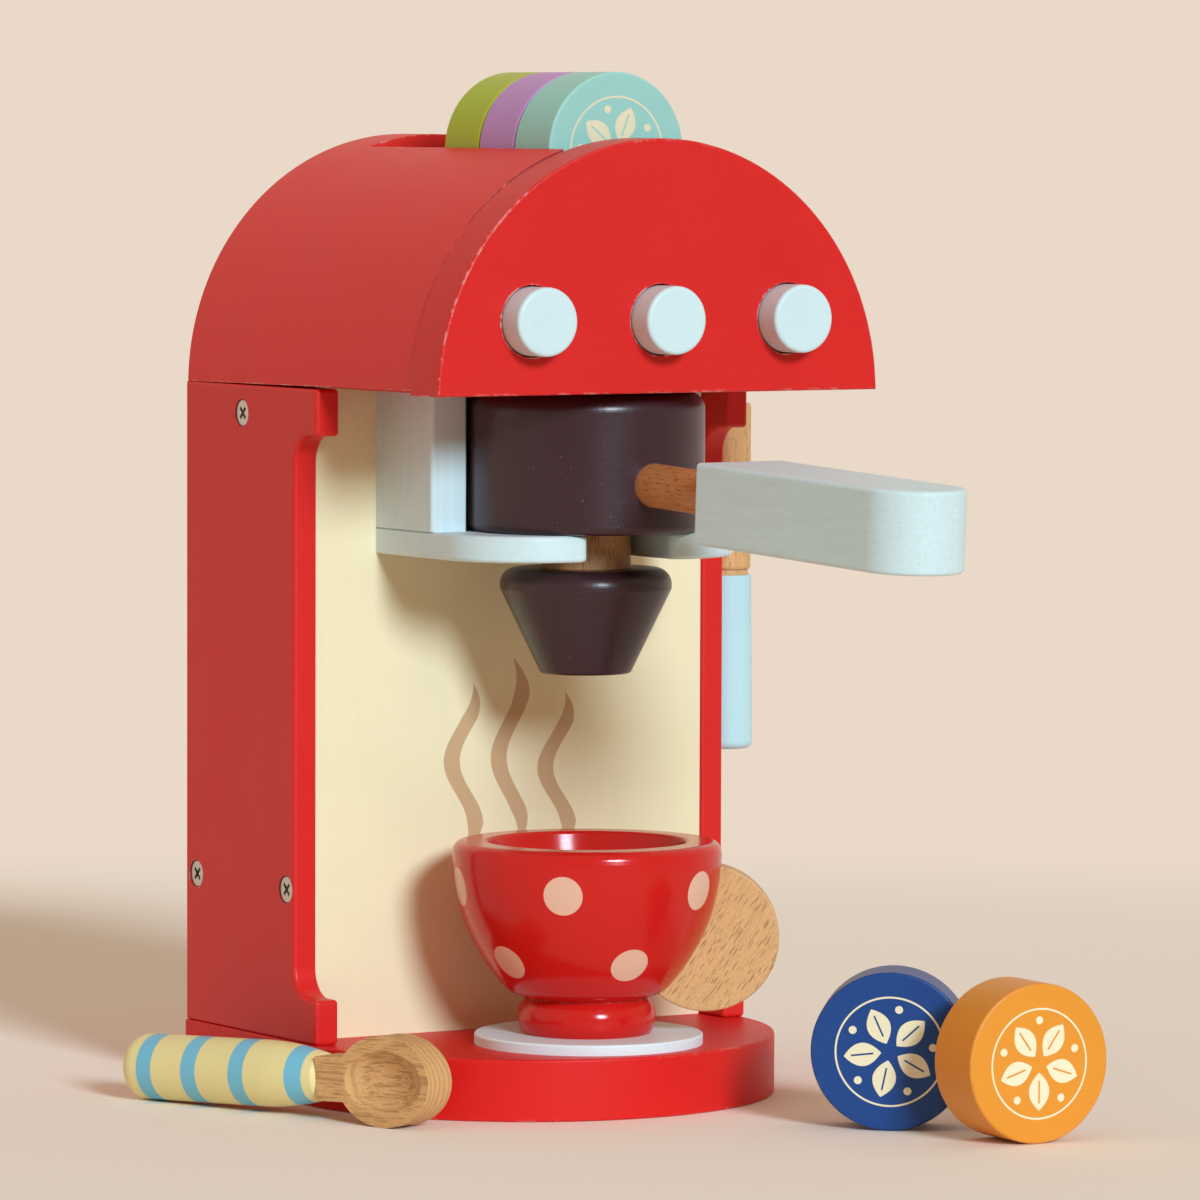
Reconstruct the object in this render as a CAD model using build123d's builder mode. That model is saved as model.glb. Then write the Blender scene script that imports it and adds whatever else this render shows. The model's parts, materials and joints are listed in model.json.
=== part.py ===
from build123d import *
import math
import os

# Toy coffee maker: a painted wooden play machine with a filter holder, a steam wand,
# three push buttons, coffee pods, a cup on its drip disc and a measuring spoon.
# Millimetres. X runs across the machine, -Y is the front, +Z is up. The origin is the
# middle of the base board's underside.

os.makedirs("parts", exist_ok=True)

# ---------------------------------------------------------------- driving dimensions
# cabinet
machine_width = 124.0
machine_depth = 124.0
base_thickness = 15.0
panel_thickness = 6.5
panel_height = 160.0
bay_depth = 57.5
ear_reach = 11.0
top_ear_height = 11.5
bottom_ear_height = 11.0
ear_hollow_radius = 7.0
back_board_thickness = 7.0
back_board_setback = 0.7
rear_panel_thickness = 9.0
rear_panel_inset = 1.0
top_board_thickness = 14.0

# head
head_side_inset = 0.1
head_arc_drop = 0.8
head_overhang = 1.0
front_plate_thickness = 13.5
roof_wall = 7.0
roof_inset = 0.4
roof_rise = 0.9
roof_gap = 1.1
head_floor_thickness = 7.3
rear_plate_thickness = 6.5
slot_end_margin = 17.0
tray_wall = 5.0

# coffee pods
pod_diameter = 38.0
pod_thickness = 16.5
pod_sink = 3.1
pod_front_gap = 7.3

# push buttons
button_diameter = 16.5
button_pitch = 36.0
button_proud = 7.5
button_flange_lip = 1.8
button_flange_thickness = 2.5
button_stem_diameter = 5.0
button_travel = 4.5
spring_wire = 0.8
spring_outer_diameter = 7.8
spring_turns = 4
spring_seat_depth = 4.0
housing_thickness = 10.0
housing_height = 21.0
housing_width = 88.0

# filter holder and its fork
filter_diameter = 58.0
filter_height = 33.8
filter_stand_off = 35.7
turned_round = 4.0
neck_diameter = 22.0
fork_drop = 34.5
fork_thickness = 6.5
fork_corner = 22.0
fork_lip_round = 3.0
fork_length = 57.4
holder_block_width = 10.0
holder_block_depth = 27.3
spout_top_radius = 21.0
spout_bottom_radius = 11.0
spout_height = 25.8
spout_gap = 2.6
handle_dowel_diameter = 10.6
handle_heading = 3.2
handle_droop = 2.6
handle_rise = 13.4
grip_start = 63.3
grip_length = 81.3
grip_width = 25.1
grip_height = 19.5
grip_drop = 1.0

# steam wand
wand_diameter = 13.5
wand_top_height = 168.8
wand_arm_bottom = 126.5
wand_nozzle_bottom = 81.0
wand_nozzle_top_diameter = 13.9
wand_nozzle_tip_diameter = 14.9
wand_collar_diameter = 12.2
wand_collar_height = 1.3
wand_tenon_diameter = 7.0
wand_tenon_length = 12.0
wand_setback = 23.5
wand_pivot_height = 153.0
wand_washer_diameter = 10.0
wand_washer_thickness = 1.0

# cup and drip disc
disc_diameter = 56.0
disc_thickness = 2.6
disc_forward = 2.0
cup_offset = -0.6
cup_rim_radius = 33.0
cup_height = 47.1
cup_rim_round = 2.5
cup_mouth_radius = 24.3
cup_hollow_depth = 34.0
cup_bowl_arc = 48.2
cup_bowl_bottom = 10.4
cup_neck_radius = 14.9
cup_neck_height = 8.8
cup_foot_radius = 17.0
cup_foot_base_radius = 15.6
cup_handle_diameter = 36.0
cup_handle_thickness = 8.0
cup_handle_inset = 4.0
cup_handle_height = 23.6
cup_handle_heading = -31.4

# measuring spoon
spoon_handle_diameter = 16.2
spoon_handle_length = 62.0
spoon_handle_tip_diameter = 11.6
spoon_taper_length = 20.0
spoon_butt_round = 5.0
spoon_bowl_length = 28.6
spoon_bowl_width = 21.9
spoon_bowl_thickness = 9.5
spoon_bowl_reach = 83.0
spoon_neck_width = 10.7
spoon_tenon_diameter = 6.0
spoon_tenon_length = 10.0
dish_length = 24.0
dish_width = 15.0
dish_depth = 3.8
spoon_side_gap = 28.5
spoon_y = 34.4
spoon_heading = 20.0

# loose pods, standing on their rims
blue_pod_x = 40.5
blue_pod_y = -103.7
blue_pod_heading = -37.0
orange_pod_x = 53.7
orange_pod_y = -138.8
orange_pod_heading = -2.6

# fixings
screw_head_diameter = 6.2
screw_shank_diameter = 3.0
screw_recess_width = 0.9
screw_recess_span = 3.8
screw_recess_depth = 1.2
screw_sink = 0.4
countersink_diameter = 7.0
side_screw_length = 22.0
side_screw_height = 52.0
base_screw_length = 30.0
base_screw_spread = 35.0
head_screw_length = 19.0
head_screw_spread = 38.0
holder_screw_length = 20.0
pivot_screw_diameter = 3.5
pivot_head_diameter = 7.0
pivot_head_thickness = 2.0
pivot_bite = 9.5
plate_dowel_diameter = 4.0
plate_dowel_length = 15.0
plate_dowel_angles = (14.0, 58.0, 122.0, 166.0)

# fits and edges
slot_clearance = 0.35
button_clearance = 0.4
flange_clearance = 0.3
stem_clearance = 0.1
fork_clearance = 0.75
glue_gap = 0.05
pod_gap = 0.35
pivot_clearance = 0.1
side_play = 0.1
board_edge = 1.0
plate_edge = 0.6
seam_edge = 0.5
pale_edge = 1.0
pod_edge = 0.6
dowel_hole_end = 0.3
rest_gap = 0.02

# ---------------------------------------------------------------- derived places
half_width = machine_width / 2
back_y = machine_depth / 2
front_y = -machine_depth / 2
panel_front_y = front_y + bay_depth
base_arc_y = front_y + half_width
recess_y = panel_front_y + ear_reach
base_top = base_thickness
panel_top = base_top + panel_height
back_board_y = recess_y + back_board_setback
rear_panel_y = back_y - rear_panel_inset - rear_panel_thickness
inner_half_width = half_width - panel_thickness

head_bottom = panel_top
head_front_y = front_y - head_overhang
seam_y = head_front_y + front_plate_thickness
head_radius = half_width - head_side_inset
arc_z = head_bottom - head_arc_drop
roof_radius = head_radius - roof_inset
roof_inner_radius = roof_radius - roof_wall
rear_plate_y = back_y - rear_plate_thickness
slot_length = back_y - slot_end_margin - seam_y
floor_top = head_bottom + head_floor_thickness

slot_half = pod_diameter / 2 + slot_clearance
pod_z = arc_z + head_radius - pod_sink
tray_floor_z = pod_z - pod_diameter / 2

button_flange_diameter = button_diameter + 2 * button_flange_lip
wand_y = panel_front_y + wand_setback
button_z = floor_top + flange_clearance + button_flange_diameter / 2
button_face_y = head_front_y - button_proud
flange_back_y = seam_y + button_flange_thickness
housing_y = flange_back_y + button_travel + 0.5

filter_y = back_board_y - filter_stand_off
fork_top = head_bottom - fork_drop
fork_bottom = fork_top - fork_thickness
holder_half_width = filter_diameter / 2 - 0.4 + holder_block_width
spout_top = fork_bottom - spout_gap
disc_y = filter_y - disc_forward
disc_top = base_top + disc_thickness


def arched_plane(y):
    """Sketch plane facing the front at depth y, with X across and Z up."""
    return Plane.XZ.offset(-y)


# ---------------------------------------------------------------- cabinet
# The base board is square at the back and a half circle at the front.
screw_rows_y = (back_board_y + back_board_thickness / 2, rear_panel_y + rear_panel_thickness / 2)
base_screw_planes = [
    Plane(origin=(x, y, 0), z_dir=(0, 0, -1))
    for x in (-base_screw_spread, base_screw_spread)
    for y in screw_rows_y
]
with BuildPart() as base_board:
    with BuildSketch(Plane.XY):
        with Locations((0, base_arc_y)):
            Circle(half_width)
            Rectangle(machine_width, back_y - base_arc_y, align=(Align.CENTER, Align.MIN))
    extrude(amount=base_thickness)
    fillet(base_board.faces().sort_by(Axis.Z)[-1].edges(), plate_edge)
    fillet(base_board.faces().sort_by(Axis.Z)[0].edges(), seam_edge)
    with Locations(*base_screw_planes):
        CounterSinkHole(screw_shank_diameter / 2, countersink_diameter / 2, counter_sink_angle=90)
base_board.part.label = "base_board"
export_step(base_board.part, "parts/base_board.step")

# The side panels stand on the base. Their front edge is cut back between two ears.
side_screw_places = [
    (back_board_y + back_board_thickness / 2, side_screw_height),
    (rear_panel_y + rear_panel_thickness / 2, side_screw_height),
    ((back_board_y + back_board_thickness + rear_panel_y) / 2, panel_top - top_board_thickness / 2),
]
for side, sign in (("left", -1), ("right", 1)):
    face_x = -half_width if sign < 0 else half_width - panel_thickness
    with BuildPart() as side_panel:
        with BuildSketch(Plane.YZ.offset(face_x)):
            with BuildLine():
                Polyline(
                    (back_y, base_top),
                    (panel_front_y, base_top),
                    (panel_front_y, base_top + bottom_ear_height),
                    (recess_y, base_top + bottom_ear_height),
                    (recess_y, panel_top - top_ear_height),
                    (panel_front_y, panel_top - top_ear_height),
                    (panel_front_y, panel_top),
                    (back_y, panel_top),
                    close=True,
                )
            make_face()
        extrude(amount=panel_thickness)
        corner_edges = side_panel.edges().filter_by(Axis.X).group_by(Axis.Y)
        fillet(corner_edges[1], ear_hollow_radius)
        fillet(corner_edges[0], board_edge)
        fillet(side_panel.faces().filter_by(Plane.YZ).edges(), board_edge)
        with Locations(
            *[Plane(origin=(sign * half_width, y, z), z_dir=(sign, 0, 0)) for y, z in side_screw_places]
        ):
            CounterSinkHole(screw_shank_diameter / 2, countersink_diameter / 2, counter_sink_angle=90)
        if side == "right":
            pivot_plane = Plane(origin=(half_width, wand_y, wand_pivot_height), z_dir=(1, 0, 0))
            with Locations(pivot_plane):
                Hole(pivot_screw_diameter / 2 + pivot_clearance)
    side_panel.part.label = f"{side}_side_panel"
    export_step(side_panel.part, f"parts/{side}_side_panel.step")

# The cream board behind the cup fills the space between the side panels.
board_middle_z = (base_top + panel_top) / 2
holder_screw_x = holder_half_width - holder_block_width / 2
holder_screw_planes = [
    Plane(origin=(x, back_board_y + back_board_thickness, z), z_dir=(0, 1, 0))
    for x in (-holder_screw_x, holder_screw_x)
    for z in (fork_top + fork_drop * 0.3, fork_top + fork_drop * 0.7)
]
with BuildPart() as back_board:
    with Locations((0, back_board_y + back_board_thickness / 2, board_middle_z)):
        Box(2 * inner_half_width, back_board_thickness, panel_height)
    with Locations(*holder_screw_planes):
        CounterSinkHole(screw_shank_diameter / 2, countersink_diameter / 2, counter_sink_angle=90)
    with Locations(*[Plane(origin=(x, screw_rows_y[0], base_top), z_dir=(0, 0, -1))
                     for x in (-base_screw_spread, base_screw_spread)]):
        Hole(screw_shank_diameter / 2, depth=base_screw_length - base_thickness)
    with Locations(*[Plane(origin=(s * inner_half_width, screw_rows_y[0], side_screw_height), z_dir=(s, 0, 0))
                     for s in (-1, 1)]):
        Hole(screw_shank_diameter / 2, depth=side_screw_length - panel_thickness)
back_board.part.label = "back_board"
export_step(back_board.part, "parts/back_board.step")

with BuildPart() as rear_panel:
    with Locations((0, rear_panel_y + rear_panel_thickness / 2, board_middle_z)):
        Box(2 * inner_half_width, rear_panel_thickness, panel_height)
    with Locations(*[Plane(origin=(x, screw_rows_y[1], base_top), z_dir=(0, 0, -1))
                     for x in (-base_screw_spread, base_screw_spread)]):
        Hole(screw_shank_diameter / 2, depth=base_screw_length - base_thickness)
    with Locations(*[Plane(origin=(s * inner_half_width, screw_rows_y[1], side_screw_height), z_dir=(s, 0, 0))
                     for s in (-1, 1)]):
        Hole(screw_shank_diameter / 2, depth=side_screw_length - panel_thickness)
rear_panel.part.label = "rear_panel"
export_step(rear_panel.part, "parts/rear_panel.step")

# The top board ties the side panels together and carries the head.
top_board_front = back_board_y + back_board_thickness
top_board_depth = rear_panel_y - top_board_front
top_board_y = top_board_front + top_board_depth / 2
head_screw_places = [
    (x, top_board_y + s * top_board_depth / 4)
    for x in (-head_screw_spread, head_screw_spread)
    for s in (-1, 1)
]
head_screw_planes = [
    Plane(origin=(x, y, panel_top - top_board_thickness), z_dir=(0, 0, -1))
    for x, y in head_screw_places
]
with BuildPart() as top_board:
    with Locations((0, top_board_y, panel_top - top_board_thickness / 2)):
        Box(2 * inner_half_width, top_board_depth, top_board_thickness)
    with Locations(*head_screw_planes):
        CounterSinkHole(screw_shank_diameter / 2, countersink_diameter / 2, counter_sink_angle=90)
    with Locations(*[Plane(origin=(s * inner_half_width, *side_screw_places[2]), z_dir=(s, 0, 0))
                     for s in (-1, 1)]):
        Hole(screw_shank_diameter / 2, depth=side_screw_length - panel_thickness)
top_board.part.label = "top_board"
export_step(top_board.part, "parts/top_board.step")

# ---------------------------------------------------------------- head
# The front plate and the roof share one arched outline, flat at the bottom.
dowel_radius = roof_radius - roof_wall / 2
dowel_places = [
    (
        dowel_radius * math.cos(math.radians(angle)),
        arc_z + dowel_radius * math.sin(math.radians(angle)),
    )
    for angle in plate_dowel_angles
]
dowel_hole_depth = plate_dowel_length / 2 + dowel_hole_end
button_places = {"left": -button_pitch, "middle": 0.0, "right": button_pitch}


def roof_outline(inset, mode=Mode.ADD):
    """Draw the roof's oval, moved inwards. It stands a little proud at the crown."""
    Ellipse(roof_radius - inset, roof_radius + roof_rise - inset, mode=mode)


with BuildPart() as front_plate:
    with BuildSketch(arched_plane(seam_y)):
        with Locations((0, arc_z)):
            Circle(head_radius)
        with Locations((0, head_bottom)):
            Rectangle(3 * head_radius, 3 * head_radius, align=(Align.CENTER, Align.MAX), mode=Mode.SUBTRACT)
    extrude(amount=front_plate_thickness)
    fillet(front_plate.faces().sort_by(Axis.Y)[0].edges(), plate_edge)
    fillet(front_plate.faces().sort_by(Axis.Y)[-1].edges(), seam_edge)
    with Locations(*[Plane(origin=(x, head_front_y, button_z), z_dir=(0, -1, 0))
                     for x in button_places.values()]):
        Hole(button_diameter / 2 + button_clearance)
    with Locations(*[Plane(origin=(x, seam_y, z), z_dir=(0, 1, 0)) for x, z in dowel_places]):
        Hole(plate_dowel_diameter / 2, depth=dowel_hole_depth)
front_plate.part.label = "front_plate"
export_step(front_plate.part, "parts/front_plate.step")

# The roof is a bent shell whose slot, open towards the front plate, takes the pods.
with BuildPart() as roof_shell:
    with BuildSketch(arched_plane(back_y)):
        with Locations((0, arc_z)):
            roof_outline(0)
            roof_outline(roof_wall, Mode.SUBTRACT)
        with Locations((0, head_bottom)):
            Rectangle(3 * head_radius, 3 * head_radius, align=(Align.CENTER, Align.MAX), mode=Mode.SUBTRACT)
    extrude(amount=back_y - seam_y)
    outer_ends = roof_shell.edges().filter_by(GeomType.ELLIPSE).group_by(SortBy.LENGTH)[-1]
    fillet(outer_ends, seam_edge)
    with Locations((0, seam_y, arc_z)):
        Box(
            2 * slot_half,
            slot_length,
            2 * head_radius,
            align=(Align.CENTER, Align.MIN, Align.MIN),
            mode=Mode.SUBTRACT,
        )
    # The lower edge rises towards the front and leaves a thin gap over the side panels.
    with BuildSketch(Plane.YZ.offset(-head_radius)):
        with BuildLine():
            Polyline(
                (back_y, head_bottom),
                (seam_y, head_bottom + roof_gap),
                (seam_y, head_bottom),
                close=True,
            )
        make_face()
    extrude(amount=2 * head_radius, mode=Mode.SUBTRACT)
    with Locations(*[Plane(origin=(x, seam_y, z), z_dir=(0, -1, 0)) for x, z in dowel_places]):
        Hole(plate_dowel_diameter / 2, depth=dowel_hole_depth)
roof_shell.part.label = "roof_shell"
export_step(roof_shell.part, "parts/roof_shell.step")

with BuildPart() as front_plate_dowels:
    with BuildSketch(arched_plane(seam_y + plate_dowel_length / 2)):
        with Locations(*dowel_places):
            Circle(plate_dowel_diameter / 2)
    extrude(amount=plate_dowel_length)
front_plate_dowels.part.label = "front_plate_dowels"
export_step(front_plate_dowels.part, "parts/front_plate_dowels.step")

with BuildPart() as head_rear_plate:
    with BuildSketch(arched_plane(back_y)):
        with Locations((0, arc_z)):
            roof_outline(roof_wall + glue_gap)
        with Locations((0, head_bottom)):
            Rectangle(3 * head_radius, 3 * head_radius, align=(Align.CENTER, Align.MAX), mode=Mode.SUBTRACT)
    extrude(amount=rear_plate_thickness)
head_rear_plate.part.label = "head_rear_plate"
export_step(head_rear_plate.part, "parts/head_rear_plate.step")

floor_half_width = math.sqrt(roof_inner_radius**2 - (floor_top - arc_z) ** 2) - glue_gap
head_screw_bite = head_screw_length - top_board_thickness
with BuildPart() as head_floor:
    with Locations((0, (seam_y + rear_plate_y) / 2, head_bottom + head_floor_thickness / 2)):
        Box(2 * floor_half_width, rear_plate_y - seam_y, head_floor_thickness)
    with Locations(*[Plane(origin=(x, y, head_bottom), z_dir=(0, 0, -1)) for x, y in head_screw_places]):
        Hole(screw_shank_diameter / 2, depth=head_screw_bite)
head_floor.part.label = "head_floor"
export_step(head_floor.part, "parts/head_floor.step")

# The pods stand in a trough glued under the slot, with an end wall behind them.
with BuildPart() as pod_tray:
    with BuildSketch(arched_plane(seam_y + slot_length + tray_wall)):
        with Locations((0, arc_z)):
            roof_outline(roof_wall + glue_gap)
        with Locations((0, tray_floor_z - tray_wall)):
            Rectangle(2 * (slot_half + tray_wall), head_radius, align=(Align.CENTER, Align.MIN),
                      mode=Mode.INTERSECT)
    extrude(amount=slot_length + tray_wall)
    with Locations((0, seam_y, tray_floor_z)):
        Box(2 * slot_half, slot_length, head_radius, align=(Align.CENTER, Align.MIN, Align.MIN),
            mode=Mode.SUBTRACT)
pod_tray.part.label = "pod_tray"
export_step(pod_tray.part, "parts/pod_tray.step")

# ---------------------------------------------------------------- push buttons
# Each button is one turned piece. Its flange stops behind the front plate, and its stem
# runs in the housing, which seats the return spring.
with BuildPart() as button_housing:
    with Locations((0, housing_y, floor_top)):
        Box(housing_width, housing_thickness, housing_height, align=(Align.CENTER, Align.MIN, Align.MIN))
    with Locations(*[Plane(origin=(x, housing_y, button_z), z_dir=(0, -1, 0))
                     for x in button_places.values()]):
        CounterBoreHole(
            button_stem_diameter / 2 + stem_clearance,
            spring_outer_diameter / 2 + button_clearance,
            spring_seat_depth,
        )
button_housing.part.label = "button_housing"
export_step(button_housing.part, "parts/button_housing.step")

stem_length = housing_y + housing_thickness - flange_back_y
spring_length = housing_y + spring_seat_depth - flange_back_y
coil_radius = (spring_outer_diameter - spring_wire) / 2
coil_height = spring_length - spring_wire - 2 * glue_gap
for side, x in button_places.items():
    with BuildPart() as button:
        with BuildSketch(arched_plane(seam_y)):
            with Locations((x, button_z)):
                Circle(button_diameter / 2)
        extrude(amount=seam_y - button_face_y)
        fillet(button.faces().sort_by(Axis.Y)[0].edges(), pale_edge)
        with BuildSketch(arched_plane(flange_back_y)):
            with Locations((x, button_z)):
                Circle(button_flange_diameter / 2)
        extrude(amount=button_flange_thickness)
        with BuildSketch(arched_plane(flange_back_y + stem_length)):
            with Locations((x, button_z)):
                Circle(button_stem_diameter / 2)
        extrude(amount=stem_length)
    button.part.label = f"button_{side}"
    export_step(button.part, f"parts/button_{side}.step")

    with BuildPart() as button_spring:
        with BuildLine() as coil:
            Helix(
                pitch=coil_height / spring_turns,
                height=coil_height,
                radius=coil_radius,
                center=(x, flange_back_y + spring_wire / 2 + glue_gap, button_z),
                direction=(0, 1, 0),
            )
        with BuildSketch(coil.line ^ 0):
            Circle(spring_wire / 2)
        sweep(is_frenet=True)
    button_spring.part.label = f"button_spring_{side}"
    export_step(button_spring.part, f"parts/button_spring_{side}.step")

# ---------------------------------------------------------------- coffee pods in the slot
pod_front_y = seam_y + pod_front_gap
for index, colour in enumerate(("mint", "lilac", "green")):
    front_y = pod_front_y + index * (pod_thickness + pod_gap)
    with BuildPart() as slot_pod:
        with BuildSketch(arched_plane(front_y + pod_thickness)):
            with Locations((0, pod_z)):
                Circle(pod_diameter / 2)
        extrude(amount=pod_thickness)
        fillet(slot_pod.edges().filter_by(GeomType.CIRCLE), pod_edge)
    slot_pod.part.label = f"pod_{colour}"
    export_step(slot_pod.part, f"parts/pod_{colour}.step")

# ---------------------------------------------------------------- fork and its blocks
# Two blocks under the head carry the fork, a shelf with a slot for the filter's neck.
for side, sign in (("left", -1), ("right", 1)):
    with BuildPart() as holder_block:
        with Locations((sign * holder_screw_x, back_board_y - holder_block_depth / 2, fork_top + fork_drop / 2)):
            Box(holder_block_width, holder_block_depth, fork_drop)
        front_edges = holder_block.edges().filter_by(Axis.Z).sort_by(Axis.Y)[:2]
        fillet(front_edges, pale_edge)
        with Locations(*[Plane(origin=(p.origin.X, back_board_y, p.origin.Z), z_dir=(0, 1, 0))
                         for p in holder_screw_planes if p.origin.X * sign > 0]):
            Hole(screw_shank_diameter / 2, depth=holder_screw_length - back_board_thickness)
    holder_block.part.label = f"holder_block_{side}"
    export_step(holder_block.part, f"parts/holder_block_{side}.step")

filter_centre = (0, filter_y)
slot_radius = neck_diameter / 2 + fork_clearance
with BuildPart() as holder_fork:
    with BuildSketch(Plane.XY.offset(fork_bottom)) as fork_outline:
        with Locations((0, back_board_y)):
            Rectangle(2 * holder_half_width, fork_length, align=(Align.CENTER, Align.MAX))
        fillet(fork_outline.vertices().group_by(Axis.Y)[0], fork_corner)
        with Locations(filter_centre):
            Circle(slot_radius, mode=Mode.SUBTRACT)
            Rectangle(2 * slot_radius, fork_length, align=(Align.CENTER, Align.MAX), mode=Mode.SUBTRACT)
        slot_lips = fork_outline.vertices().group_by(Axis.Y)[0].sort_by(Axis.X)[1:-1]
        fillet(slot_lips, fork_lip_round)
    extrude(amount=fork_thickness)
    top_and_bottom = holder_fork.faces().filter_by(Plane.XY)
    fillet(
        top_and_bottom.edges().filter_by(lambda edge: edge.center().Y < back_board_y - 0.5),
        pale_edge,
    )
holder_fork.part.label = "holder_fork"
export_step(holder_fork.part, "parts/holder_fork.step")

# ---------------------------------------------------------------- filter holder
# The drum rests on the fork, its neck in the slot and the spout cone below.
neck_bottom = spout_top - spout_height / 2
neck_top = fork_top + filter_height / 3
heading = math.radians(handle_heading)
droop = math.radians(handle_droop)
handle_axis = Vector(
    math.sin(heading) * math.cos(droop),
    -math.cos(heading) * math.cos(droop),
    -math.sin(droop),
)
across = Vector(math.cos(heading), math.sin(heading), 0)
handle_origin = Vector(0, filter_y, fork_top + handle_rise)
handle_plane = Plane(origin=handle_origin, x_dir=across, z_dir=handle_axis)
dowel_start = filter_diameter / 2 - handle_dowel_diameter
dowel_end = grip_start + grip_width

with BuildPart() as filter_drum:
    with BuildSketch(Plane.XY.offset(fork_top)):
        with Locations(filter_centre):
            Circle(filter_diameter / 2)
    extrude(amount=filter_height)
    drum_rims = filter_drum.edges().filter_by(GeomType.CIRCLE).group_by(Axis.Z)
    fillet(drum_rims[0], 2 * pale_edge)
    fillet(filter_drum.edges().filter_by(GeomType.CIRCLE).group_by(Axis.Z)[-1], turned_round)
    with BuildSketch(Plane.XY.offset(fork_top)):
        with Locations(filter_centre):
            Circle(neck_diameter / 2)
    extrude(amount=neck_top - fork_top, mode=Mode.SUBTRACT)
    with BuildSketch(handle_plane.offset(dowel_start)):
        Circle(handle_dowel_diameter / 2)
    extrude(amount=filter_diameter / 2, mode=Mode.SUBTRACT)
filter_drum.part.label = "filter_drum"
export_step(filter_drum.part, "parts/filter_drum.step")

with BuildPart() as neck_dowel:
    with BuildSketch(Plane.XY.offset(neck_bottom)):
        with Locations(filter_centre):
            Circle(neck_diameter / 2)
    extrude(amount=neck_top - neck_bottom)
neck_dowel.part.label = "neck_dowel"
export_step(neck_dowel.part, "parts/neck_dowel.step")

with BuildPart() as spout_cone:
    with BuildSketch(Plane.XZ.offset(-filter_y)):
        with BuildLine():
            Polyline(
                (0, spout_top - spout_height),
                (spout_bottom_radius, spout_top - spout_height),
                (spout_top_radius, spout_top - turned_round - pale_edge),
                (spout_top_radius, spout_top),
                (0, spout_top),
                close=True,
            )
        make_face()
    revolve(axis=Axis((0, filter_y, 0), (0, 0, 1)))
    rims = spout_cone.edges().filter_by(GeomType.CIRCLE).group_by(Axis.Z)
    fillet(rims[0] + rims[1], pale_edge)
    fillet(spout_cone.edges().filter_by(GeomType.CIRCLE).group_by(Axis.Z)[-1], turned_round)
    with BuildSketch(Plane.XY.offset(neck_bottom)):
        with Locations(filter_centre):
            Circle(neck_diameter / 2)
    extrude(amount=spout_height, mode=Mode.SUBTRACT)
spout_cone.part.label = "spout_cone"
export_step(spout_cone.part, "parts/spout_cone.step")

with BuildPart() as handle_dowel:
    with BuildSketch(handle_plane.offset(dowel_start)):
        Circle(handle_dowel_diameter / 2)
    extrude(amount=dowel_end - dowel_start)
handle_dowel.part.label = "handle_dowel"
export_step(handle_dowel.part, "parts/handle_dowel.step")

# The grip is a long block, square at the drum and half round at its far end.
grip_up = handle_axis.cross(across)
grip_up = grip_up if grip_up.Z > 0 else grip_up * -1
grip_plane = Plane(
    origin=handle_origin + handle_axis * grip_start - grip_up * (grip_drop + grip_height / 2),
    x_dir=handle_axis,
    z_dir=grip_up,
)
grip_straight = grip_length - grip_width / 2
with BuildPart() as handle_grip:
    with BuildSketch(grip_plane):
        Rectangle(grip_straight, grip_width, align=(Align.MIN, Align.CENTER))
        with Locations((grip_straight, 0)):
            Circle(grip_width / 2)
    extrude(amount=grip_height)
    fillet(handle_grip.edges(), pale_edge)
    with BuildSketch(handle_plane.offset(grip_start)):
        Circle(handle_dowel_diameter / 2)
    extrude(amount=dowel_end - grip_start, mode=Mode.SUBTRACT)
handle_grip.part.label = "handle_grip"
export_step(handle_grip.part, "parts/handle_grip.step")

# ---------------------------------------------------------------- steam wand
# A beech arm turns on a screw through the right side panel, and holds a painted nozzle.
wand_gap = wand_washer_thickness + 2 * side_play
wand_x = half_width + wand_gap + wand_diameter / 2
wand_centre = (wand_x, wand_y)
collar_bottom = wand_arm_bottom - wand_collar_height
with BuildPart() as wand_arm:
    with BuildSketch(Plane.XY.offset(wand_arm_bottom)):
        with Locations(wand_centre):
            Circle(wand_diameter / 2)
    extrude(amount=wand_top_height - wand_arm_bottom)
    fillet(wand_arm.edges().filter_by(GeomType.CIRCLE), pale_edge)
    with BuildSketch(Plane.XY.offset(collar_bottom)):
        with Locations(wand_centre):
            Circle(wand_collar_diameter / 2)
    extrude(amount=wand_collar_height)
    with BuildSketch(Plane.XY.offset(collar_bottom - wand_tenon_length)):
        with Locations(wand_centre):
            Circle(wand_tenon_diameter / 2)
    extrude(amount=wand_tenon_length)
    arm_side = Plane(origin=(half_width, wand_y, wand_pivot_height), z_dir=(1, 0, 0))
    with BuildSketch(arm_side):
        Circle(pivot_screw_diameter / 2)
    extrude(amount=wand_gap + pivot_bite, mode=Mode.SUBTRACT)
wand_arm.part.label = "wand_arm"
export_step(wand_arm.part, "parts/wand_arm.step")

nozzle_length = collar_bottom - wand_nozzle_bottom
nozzle_slope = (wand_nozzle_tip_diameter - wand_nozzle_top_diameter) / 2 / nozzle_length
nozzle_taper = math.degrees(math.atan(nozzle_slope))
with BuildPart() as wand_nozzle:
    with BuildSketch(Plane.XY.offset(wand_nozzle_bottom)):
        with Locations(wand_centre):
            Circle(wand_nozzle_tip_diameter / 2)
    extrude(amount=nozzle_length, taper=nozzle_taper)
    fillet(wand_nozzle.edges().group_by(Axis.Z)[0], 2 * pale_edge)
    fillet(wand_nozzle.edges().group_by(Axis.Z)[-1], seam_edge)
    with BuildSketch(Plane.XY.offset(collar_bottom - wand_tenon_length)):
        with Locations(wand_centre):
            Circle(wand_tenon_diameter / 2)
    extrude(amount=wand_tenon_length, mode=Mode.SUBTRACT)
wand_nozzle.part.label = "wand_nozzle"
export_step(wand_nozzle.part, "parts/wand_nozzle.step")

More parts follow.
